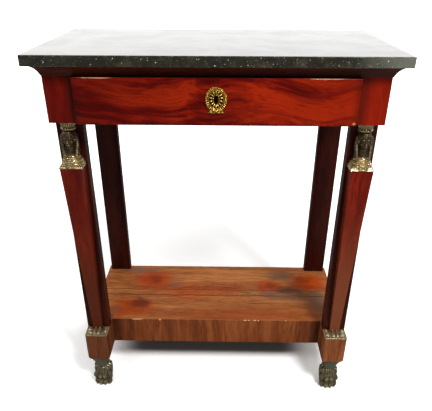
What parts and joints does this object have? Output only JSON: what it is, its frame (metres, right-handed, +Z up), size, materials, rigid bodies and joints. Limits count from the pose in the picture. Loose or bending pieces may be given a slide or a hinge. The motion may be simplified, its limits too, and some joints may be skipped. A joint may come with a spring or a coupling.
{
  "type": "pier table",
  "caption": "Narrow side table with a stone slab, a frieze drawer with a lock, tapered front posts with metal busts, a low shelf and cast paw feet",
  "frame": {"origin": "on the floor under the middle of the marble slab", "axes": "+Z up, front of the table towards -Y, +X to the right for someone who faces the front"},
  "size_m": [0.74, 0.38, 0.9],
  "materials": {
    "marble": "polished dark fossil marble with fine pale flecks",
    "mahogany_carcass": "French-polished red mahogany veneer",
    "mahogany_drawer": "French-polished flame mahogany veneer",
    "mahogany_posts": "French-polished mahogany, straight grain",
    "mahogany_blocks": "polished mahogany, worn and paler",
    "mahogany_shelf": "worn mahogany with faded and red patches",
    "mahogany_plinth": "polished mahogany veneer, upright grain",
    "pine": "bare planed pine, aged",
    "oak": "bare planed oak, aged",
    "bronze_dark": "dark patinated bronze with rubbed gilt",
    "bronze_green": "grey-green patinated bronze",
    "brass_gilt": "cast gilt brass, worn",
    "brass_lock": "dull sheet brass",
    "steel": "filed steel, dull"
  },
  "bodies": {
    "carcass": {"bust_left": "bronze_dark", "bust_right": "bronze_dark", "collar_left": "bronze_green", "collar_right": "bronze_green", "cornice_front": "mahogany_carcass", "cornice_side_left": "mahogany_carcass", "cornice_side_right": "mahogany_carcass", "drawer_stops": "pine", "foot_mount_left": "brass_gilt", "foot_mount_right": "brass_gilt", "frieze_back": "pine", "frieze_block_left": "mahogany_carcass", "frieze_block_right": "mahogany_carcass", "frieze_glue_blocks": "pine", "frieze_side_left": "mahogany_carcass", "frieze_side_right": "mahogany_carcass", "front_post_left": "mahogany_posts", "front_post_right": "mahogany_posts", "guide_left": "pine", "guide_right": "pine", "herm_left": "mahogany_posts", "herm_right": "mahogany_posts", "kicker_left": "pine", "kicker_right": "pine", "lower_front_rail": "pine", "marble_top": "marble", "paw_left": "bronze_dark", "paw_right": "bronze_dark", "plinth_back": "pine", "plinth_bearer": "pine", "plinth_block_left": "mahogany_blocks", "plinth_block_right": "mahogany_blocks", "plinth_front": "pine", "plinth_glue_blocks": "pine", "plinth_side_left": "mahogany_blocks", "plinth_side_right": "mahogany_blocks", "plinth_veneer": "mahogany_plinth", "rear_foot_left": "mahogany_blocks", "rear_foot_right": "mahogany_blocks", "rear_post_left": "mahogany_posts", "rear_post_right": "mahogany_posts", "runner_left": "pine", "runner_right": "pine", "shelf_board_front": "mahogany_shelf", "shelf_board_rear": "mahogany_shelf", "upper_front_rail": "pine"},
    "drawer": {"drawer_front": "pine", "drawer_veneer": "mahogany_drawer", "drawer_side_right": "oak", "drawer_side_left": "oak", "drawer_back": "oak", "drawer_bottom": "oak", "lock_case": "brass_lock", "lock_screws": "steel", "escutcheon": "brass_gilt", "escutcheon_pins": "brass_gilt"},
    "lock_bolt": {"lock_bolt": "steel"}
  },
  "joints": [
    {"name": "drawer_slide", "type": "slide", "parent": "carcass", "child": "drawer", "axis": [0, -1, 0], "range_m": [0, 0.2]},
    {"name": "lock_bolt_slide", "type": "slide", "parent": "drawer", "child": "lock_bolt", "axis": [0, 0, 1], "range_m": [0, 0.01]}
  ]
}
